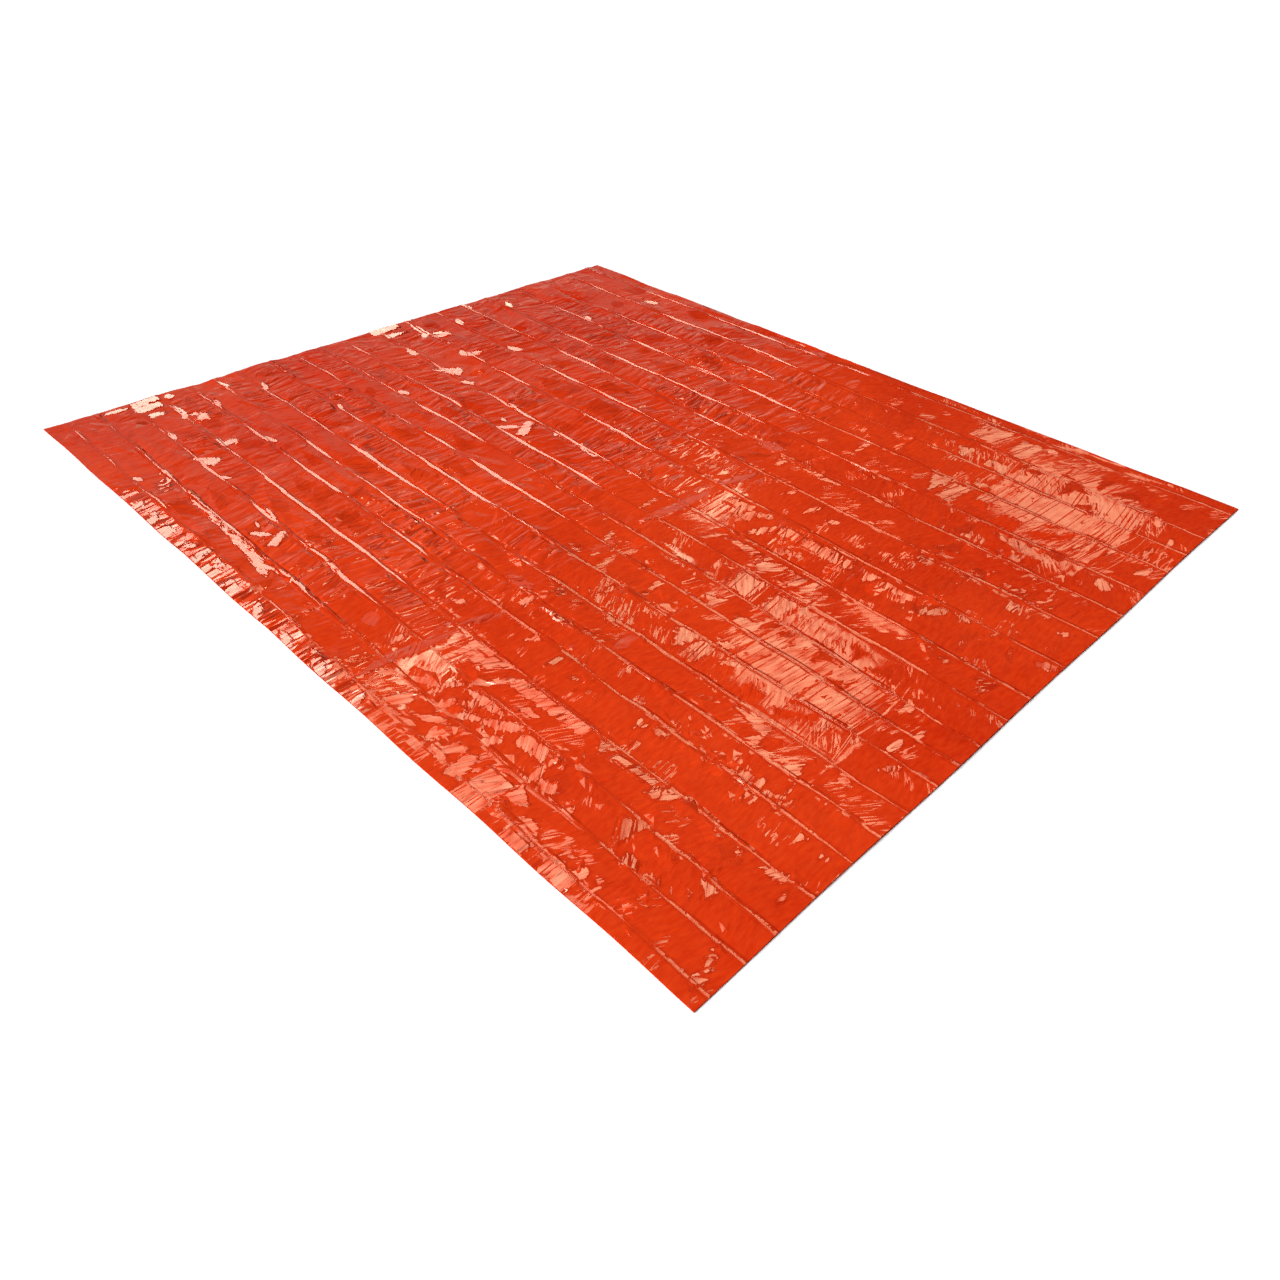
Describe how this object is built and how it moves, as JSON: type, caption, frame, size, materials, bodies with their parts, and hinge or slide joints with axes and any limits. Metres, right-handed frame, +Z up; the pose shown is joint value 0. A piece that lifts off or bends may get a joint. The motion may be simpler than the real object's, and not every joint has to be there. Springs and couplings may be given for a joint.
{
  "type": "emergency sleeping bag laid out flat",
  "caption": "Emergency sleeping bag of thin glossy orange film, unfolded and laid out flat as one creased rectangular sheet.",
  "frame": {"origin": "centre of the sheet's outline, on the floor that it lies on", "axes": "+X across the width, +Y along the long folds towards the far end, +Z up off the floor"},
  "size_m": [1.81, 2.13, 0.0078],
  "materials": {
    "film": "glossy thin orange film with packing creases"
  },
  "bodies": {
    "root": {"film_sheet": "film"}
  },
  "joints": []
}
